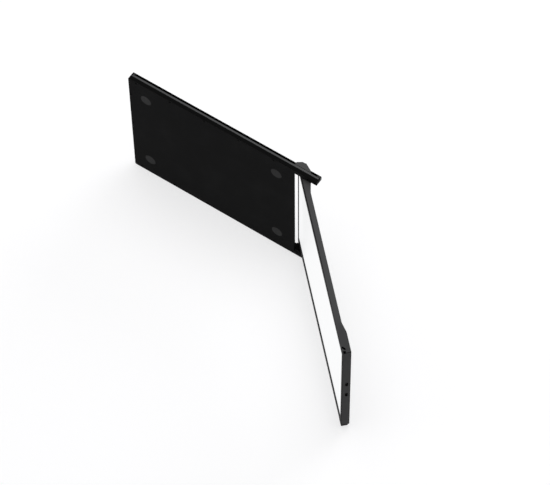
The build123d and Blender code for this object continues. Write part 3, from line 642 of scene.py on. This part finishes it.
# %% Boards and ribbon
start = begin("board")
point = where(start, True)
u, v, z = split(point)
square_cells = {"distance": "CHEBYCHEV"}
areas = point.node("ShaderNodeTexVoronoi", square_cells, {"Vector": point, "Scale": 0.12}, "Color")
pick = split(areas)[0]
along = step(repeat(z, 1.1), 0.30, 0.36) * step(pick, 0.48, 0.5)
across = step(repeat(u, 1.1), 0.30, 0.36) * (1 - step(pick, 0.48, 0.5))
tracks = along + across
rings = 1 - step(cells(point, 3.2), 0.16, 0.18)
lacquer = tint(tracks, (0.010, 0.070, 0.030), (0.022, 0.125, 0.050))
close(
    start, tint(rings, lacquer, (0.60, 0.58, 0.52)), 0.32 - rings * 0.08, tracks * 0.5 + rings, 0.03,
    Metallic=rings * 0.9,
)

start = begin("ribbon_film")
point = where(start, True)
u, v, z = split(point)
wires = step(repeat(z, 0.5), 0.11, 0.15)
close(start, tint(wires, (0.30, 0.13, 0.03), (0.52, 0.27, 0.09)), 0.30 + wires * 0.08, wires, 0.02)
print("board and ribbon")

# %% [markdown]
# ## Soft fillers
#
# Foam strips press the display forward, and a soft pad carries heat from the main chip into the
# cover. Foam is open cells: round hollows, with painted shade inside. The pad is a grey-blue putty with
# mineral grains in it, which give it a speckle.

# %% Soft fillers
start = begin("foam")
point = where(start, True)
pores = cells(point, 0.7)
foam = tint(pores, grey(0.012), grey(0.050))
close(start, foam, 0.9 - pores * 0.1, pores, 0.25, Specular_IOR_Level=0.1)

start = begin("soft_pad")
point = where(start, True)
speckle = step(grain(point, 0.3, 3.0), 0.5, 0.62)
close(start, tint(speckle, (0.20, 0.25, 0.34), (0.36, 0.42, 0.50)), 0.6 + speckle * 0.15, speckle, 0.03)
print("foam and soft pad")

# %% [markdown]
# ## Contacts in the sockets
#
# The tongue in each socket carries twelve gold contacts on each face, half a millimetre apart. They
# could be painted as stripes, but each stands a little proud of the plastic. So each is a flat bar
# with rounded edges: four rings of eight points, the first and last ring smaller, and a cap at both
# ends. All bars are worked out in one array, with one axis for the bars and one for the rings.

# %% Contacts
contact_middle = 300.3
contact_rise = 0.35
contact_pitch = 0.5
contact_count = 12
start = begin("gold")
point = where(start, True)
worn = grain(point, 0.4, 2.0)
plating = tint(worn, (0.50, 0.33, 0.10), (0.62, 0.43, 0.16))
close(start, plating, 0.26 + worn * 0.15, worn, 0.004, Metallic=1.0)


def add_piece(name, points, faces, material, body):
    """A mesh from points (n, 3) in metres and faces, with its finish, on a body."""
    mesh = bpy.data.meshes.new(name)
    mesh.from_pydata(points.tolist(), [], faces)
    mesh.materials.append(materials[material])
    piece = bpy.data.objects.new(name, mesh)
    bpy.context.scene.collection.objects.link(piece)
    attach(piece, body)
    return piece


def bars(centres, length, width, height):
    """Bars along u. Ring point: (along, height * sin t, width * cos t), squared off by a root of each."""
    along = np.array([-0.5, -0.46, 0.46, 0.5]) * length
    size = np.array([0.7, 1.0, 1.0, 0.7])
    rings, sides = len(along), 8
    t = np.arange(sides) * 2 * math.pi / sides + math.pi / sides
    across = np.sign(np.cos(t)) * np.abs(np.cos(t)) ** 0.5 * width / 2
    up = np.sign(np.sin(t)) * np.abs(np.sin(t)) ** 0.5 * height / 2
    ring = np.stack(np.broadcast_arrays(along[:, None], size[:, None] * up, size[:, None] * across), axis=-1)
    points = (centres[:, None, None, :] + ring).reshape(-1, 3)
    first = np.arange(len(centres))[:, None, None] * rings * sides
    row = first + np.arange(rings - 1)[:, None] * sides
    corner = row + np.arange(sides)
    beside = row + (np.arange(sides) + 1) % sides
    walls = np.stack([corner, corner + sides, beside + sides, beside], axis=-1).reshape(-1, 4)
    last = first[:, 0] + rings * sides - 1
    caps = np.concatenate([first[:, 0] + np.arange(sides), last - np.arange(sides)])
    return points, walls.tolist() + caps.tolist()


places = np.array([
    (contact_middle, socket_v + side * contact_rise, z + (number - (contact_count - 1) / 2) * contact_pitch)
    for z in socket_z for side in (-1, 1) for number in range(contact_count)
])
contact_points, contact_faces = bars(places, length=3.4, width=0.3, height=0.06)
add_piece("port_contacts", on_panel(contact_points) * mm, contact_faces, "gold", "panel")
print("contacts:", len(places), "with", len(contact_faces), "faces")

# %% [markdown]
# ## Dust mesh behind the vents
#
# Behind each vent a woven mesh keeps dust out. Seen through the slots it is a dark cloth of wires. A
# plain weave is a surface whose height is the product of two sines, so one height formula on a grid
# gives it, with four points to each wire. The sheet lies on the inner face of the cover's slope, and
# a thin Solidify gives it two sides.

# %% Dust mesh
slope_middle = np.array([264.0, 1.5, 0.0])
slope_along = np.array([0.9756, 0.2195, 0.0])
slope_out = np.array([-0.2195, 0.9756, 0.0])
vent_middles = (-63.0, 0.0, 63.0)
sheet_depth = 1.42
wire_pitch = 1.5
start = begin("dust_cloth")
point = where(start, True)
u, v, z = split(point)
wires = step(repeat(z, wire_pitch / 2), 0.10, 0.22)
cloth = tint(wires, grey(0.004), grey(0.022))
close(start, cloth, 0.6 - wires * 0.1, wires, 0.02, Specular_IOR_Level=0.2)


def woven_sheet(middle, width, height, depth):
    """A plain weave: out = 0.1 * sin(2 pi a / pitch) * sin(2 pi b / pitch), below the slope by depth."""
    a = np.arange(-width / 2, width / 2, wire_pitch / 4) + wire_pitch / 8
    b = np.arange(-height / 2, height / 2, wire_pitch / 4) + wire_pitch / 8
    along, up = np.meshgrid(a, b, indexing="ij")
    out = 0.1 * np.sin(2 * math.pi * along / wire_pitch) * np.sin(2 * math.pi * up / wire_pitch) - depth
    place = slope_middle + along[..., None] * slope_along + out[..., None] * slope_out
    place[..., 2] += middle + up
    corner = (np.arange(len(a) - 1)[:, None] * len(b) + np.arange(len(b) - 1)).reshape(-1, 1)
    return place.reshape(-1, 3), corner + np.array([0, 1, len(b) + 1, len(b)])


sheets = [woven_sheet(middle, 12.0, 60.0, sheet_depth) for middle in vent_middles]
sheet_points = len(sheets[0][0])
cloth_faces = np.concatenate([faces + number * sheet_points for number, (_, faces) in enumerate(sheets)])
cloth_points = on_panel(np.concatenate([points for points, _ in sheets])) * mm
dust_mesh = add_piece("dust_mesh", cloth_points, cloth_faces.tolist(), "dust_cloth", "panel")
solid = dust_mesh.modifiers.new("thickness", "SOLIDIFY")
solid.thickness = 0.05 * mm
solid.offset = -1.0
print("dust mesh:", len(cloth_faces), "faces; it lies", sheet_depth, "mm below the slope")

# %% [markdown]
# ## A finish for every part
#
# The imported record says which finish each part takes, so the table there does the matching. The
# parts' own meshes stay as they are: only the material in each one's slot changes.

# %% Assign the finishes
for part in frame["record"]["subparts"]:
    node = frame["nodes"][part["node"]]
    node.material_slots[0].material = materials[part["material_slot"]]
